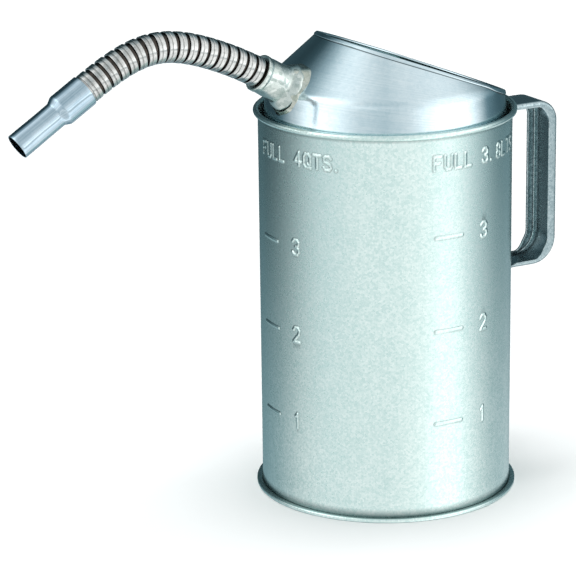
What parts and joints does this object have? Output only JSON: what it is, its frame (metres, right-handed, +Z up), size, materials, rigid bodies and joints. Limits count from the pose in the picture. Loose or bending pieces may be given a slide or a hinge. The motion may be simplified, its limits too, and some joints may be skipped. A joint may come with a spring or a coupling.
{
  "type": "motor oil measuring can",
  "caption": "Galvanised sheet measure for motor oil: riveted strap handle, hooded filling mouth, raised level marks and a bending strip-wound metal spout with a tube nozzle.",
  "frame": {"origin": "centre of the base, on the plane the can stands on", "axes": "+Z up along the can, +X towards the handle, the spout leaves towards -X in the XZ plane"},
  "size_m": [0.3575, 0.158, 0.2952],
  "materials": {
    "galvanised_wall": "hot-dip galvanised sheet, fine spangle",
    "galvanised_bottom": "hot-dip galvanised sheet",
    "hood_sheet": "bright zinc-coated sheet, smoother than the wall",
    "hood_solder": "tinned solder run",
    "socket_casting": "tinned collar",
    "socket_solder": "lumpy tinned solder",
    "hose_strip": "plated strip-wound metal hose",
    "nozzle_zinc": "zinc-plated tube",
    "handle_strap": "galvanised pressed strap",
    "rivet_steel": "galvanised rivets",
    "rim_wire_steel": "drawn wire"
  },
  "bodies": {
    "can": {"can_wall": "galvanised_wall", "rim_wire": "rim_wire_steel", "bottom_pan": "galvanised_bottom", "hood": "hood_sheet", "hood_solder": "hood_solder", "spout_socket": "socket_casting", "socket_solder": "socket_solder", "hose_root_cuff": "hose_strip", "handle": "handle_strap", "handle_rivets_upper": "rivet_steel", "handle_rivets_lower": "rivet_steel"},
    "turn_01": {"hose_turn_01": "hose_strip"},
    "turn_02": {"hose_turn_02": "hose_strip"},
    "turn_03": {"hose_turn_03": "hose_strip"},
    "turn_04": {"hose_turn_04": "hose_strip"},
    "turn_05": {"hose_turn_05": "hose_strip"},
    "turn_06": {"hose_turn_06": "hose_strip"},
    "turn_07": {"hose_turn_07": "hose_strip"},
    "turn_08": {"hose_turn_08": "hose_strip"},
    "turn_09": {"hose_turn_09": "hose_strip"},
    "turn_10": {"hose_turn_10": "hose_strip"},
    "turn_11": {"hose_turn_11": "hose_strip"},
    "turn_12": {"hose_turn_12": "hose_strip"},
    "turn_13": {"hose_turn_13": "hose_strip"},
    "turn_14": {"hose_turn_14": "hose_strip"},
    "turn_15": {"hose_turn_15": "hose_strip"},
    "turn_16": {"hose_turn_16": "hose_strip"},
    "turn_17": {"hose_turn_17": "hose_strip"},
    "turn_18": {"hose_turn_18": "hose_strip", "nozzle": "nozzle_zinc"}
  },
  "joints": [
    {"name": "hose_dip_01", "type": "hinge", "parent": "can", "child": "turn_01", "pos_m": [-0.0857, 0, 0.2646], "axis": [0, -1, 0], "range_deg": [-8, 2.1]},
    {"name": "hose_swing_02", "type": "hinge", "parent": "turn_01", "child": "turn_02", "pos_m": [-0.09144, 0, 0.26776], "axis": [0.4692, 0, 0.8831], "range_deg": [-5.5, 5.5]},
    {"name": "hose_dip_03", "type": "hinge", "parent": "turn_02", "child": "turn_03", "pos_m": [-0.09727, 0, 0.27075], "axis": [0, -1, 0], "range_deg": [-8, 2.1]},
    {"name": "hose_swing_04", "type": "hinge", "parent": "turn_03", "child": "turn_04", "pos_m": [-0.10318, 0, 0.27356], "axis": [0.4164, 0, 0.9092], "range_deg": [-5.5, 5.5]},
    {"name": "hose_dip_05", "type": "hinge", "parent": "turn_04", "child": "turn_05", "pos_m": [-0.10918, 0, 0.2762], "axis": [0, -1, 0], "range_deg": [-8, 2.1]},
    {"name": "hose_swing_06", "type": "hinge", "parent": "turn_05", "child": "turn_06", "pos_m": [-0.11525, 0, 0.27865], "axis": [0.359, 0, 0.9333], "range_deg": [-5.5, 5.5]},
    {"name": "hose_dip_07", "type": "hinge", "parent": "turn_06", "child": "turn_07", "pos_m": [-0.1214, 0, 0.2809], "axis": [0, -1, 0], "range_deg": [-8, 2.1]},
    {"name": "hose_swing_08", "type": "hinge", "parent": "turn_07", "child": "turn_08", "pos_m": [-0.12764, 0, 0.2829], "axis": [0.278, 0, 0.9606], "range_deg": [-5.5, 5.5]},
    {"name": "hose_dip_09", "type": "hinge", "parent": "turn_08", "child": "turn_09", "pos_m": [-0.13398, 0, 0.28454], "axis": [0, -1, 0], "range_deg": [-8, 2.1]},
    {"name": "hose_swing_10", "type": "hinge", "parent": "turn_09", "child": "turn_10", "pos_m": [-0.14043, 0, 0.28569], "axis": [0.1238, 0, 0.9923], "range_deg": [-5.5, 5.5]},
    {"name": "hose_dip_11", "type": "hinge", "parent": "turn_10", "child": "turn_11", "pos_m": [-0.14696, 0, 0.28616], "axis": [0, -1, 0], "range_deg": [-8, 2.1]},
    {"name": "hose_swing_12", "type": "hinge", "parent": "turn_11", "child": "turn_12", "pos_m": [-0.1535, 0, 0.28582], "axis": [-0.1158, 0, 0.9933], "range_deg": [-5.5, 5.5]},
    {"name": "hose_dip_13", "type": "hinge", "parent": "turn_12", "child": "turn_13", "pos_m": [-0.15995, 0, 0.28465], "axis": [0, -1, 0], "range_deg": [-8, 2.1]},
    {"name": "hose_swing_14", "type": "hinge", "parent": "turn_13", "child": "turn_14", "pos_m": [-0.16621, 0, 0.28274], "axis": [-0.3346, 0, 0.9424], "range_deg": [-5.5, 5.5]},
    {"name": "hose_dip_15", "type": "hinge", "parent": "turn_14", "child": "turn_15", "pos_m": [-0.17228, 0, 0.28027], "axis": [0, -1, 0], "range_deg": [-8, 2.1]},
    {"name": "hose_swing_16", "type": "hinge", "parent": "turn_15", "child": "turn_16", "pos_m": [-0.17817, 0, 0.27741], "axis": [-0.4583, 0, 0.8888], "range_deg": [-5.5, 5.5]},
    {"name": "hose_dip_17", "type": "hinge", "parent": "turn_16", "child": "turn_17", "pos_m": [-0.18392, 0, 0.27427], "axis": [0, -1, 0], "range_deg": [-8, 2.1]},
    {"name": "hose_swing_18", "type": "hinge", "parent": "turn_17", "child": "turn_18", "pos_m": [-0.18955, 0, 0.27092], "axis": [-0.5244, 0, 0.8514], "range_deg": [-5.5, 5.5]}
  ],
  "couplings": [
    {"joint": "hose_dip_03", "follows": "hose_dip_01", "ratio": 1},
    {"joint": "hose_swing_04", "follows": "hose_swing_02", "ratio": 1},
    {"joint": "hose_dip_05", "follows": "hose_dip_01", "ratio": 1},
    {"joint": "hose_swing_06", "follows": "hose_swing_02", "ratio": 1},
    {"joint": "hose_dip_07", "follows": "hose_dip_01", "ratio": 1},
    {"joint": "hose_swing_08", "follows": "hose_swing_02", "ratio": 1},
    {"joint": "hose_dip_09", "follows": "hose_dip_01", "ratio": 1},
    {"joint": "hose_swing_10", "follows": "hose_swing_02", "ratio": 1},
    {"joint": "hose_dip_11", "follows": "hose_dip_01", "ratio": 1},
    {"joint": "hose_swing_12", "follows": "hose_swing_02", "ratio": 1},
    {"joint": "hose_dip_13", "follows": "hose_dip_01", "ratio": 1},
    {"joint": "hose_swing_14", "follows": "hose_swing_02", "ratio": 1},
    {"joint": "hose_dip_15", "follows": "hose_dip_01", "ratio": 1},
    {"joint": "hose_swing_16", "follows": "hose_swing_02", "ratio": 1},
    {"joint": "hose_dip_17", "follows": "hose_dip_01", "ratio": 1},
    {"joint": "hose_swing_18", "follows": "hose_swing_02", "ratio": 1}
  ]
}
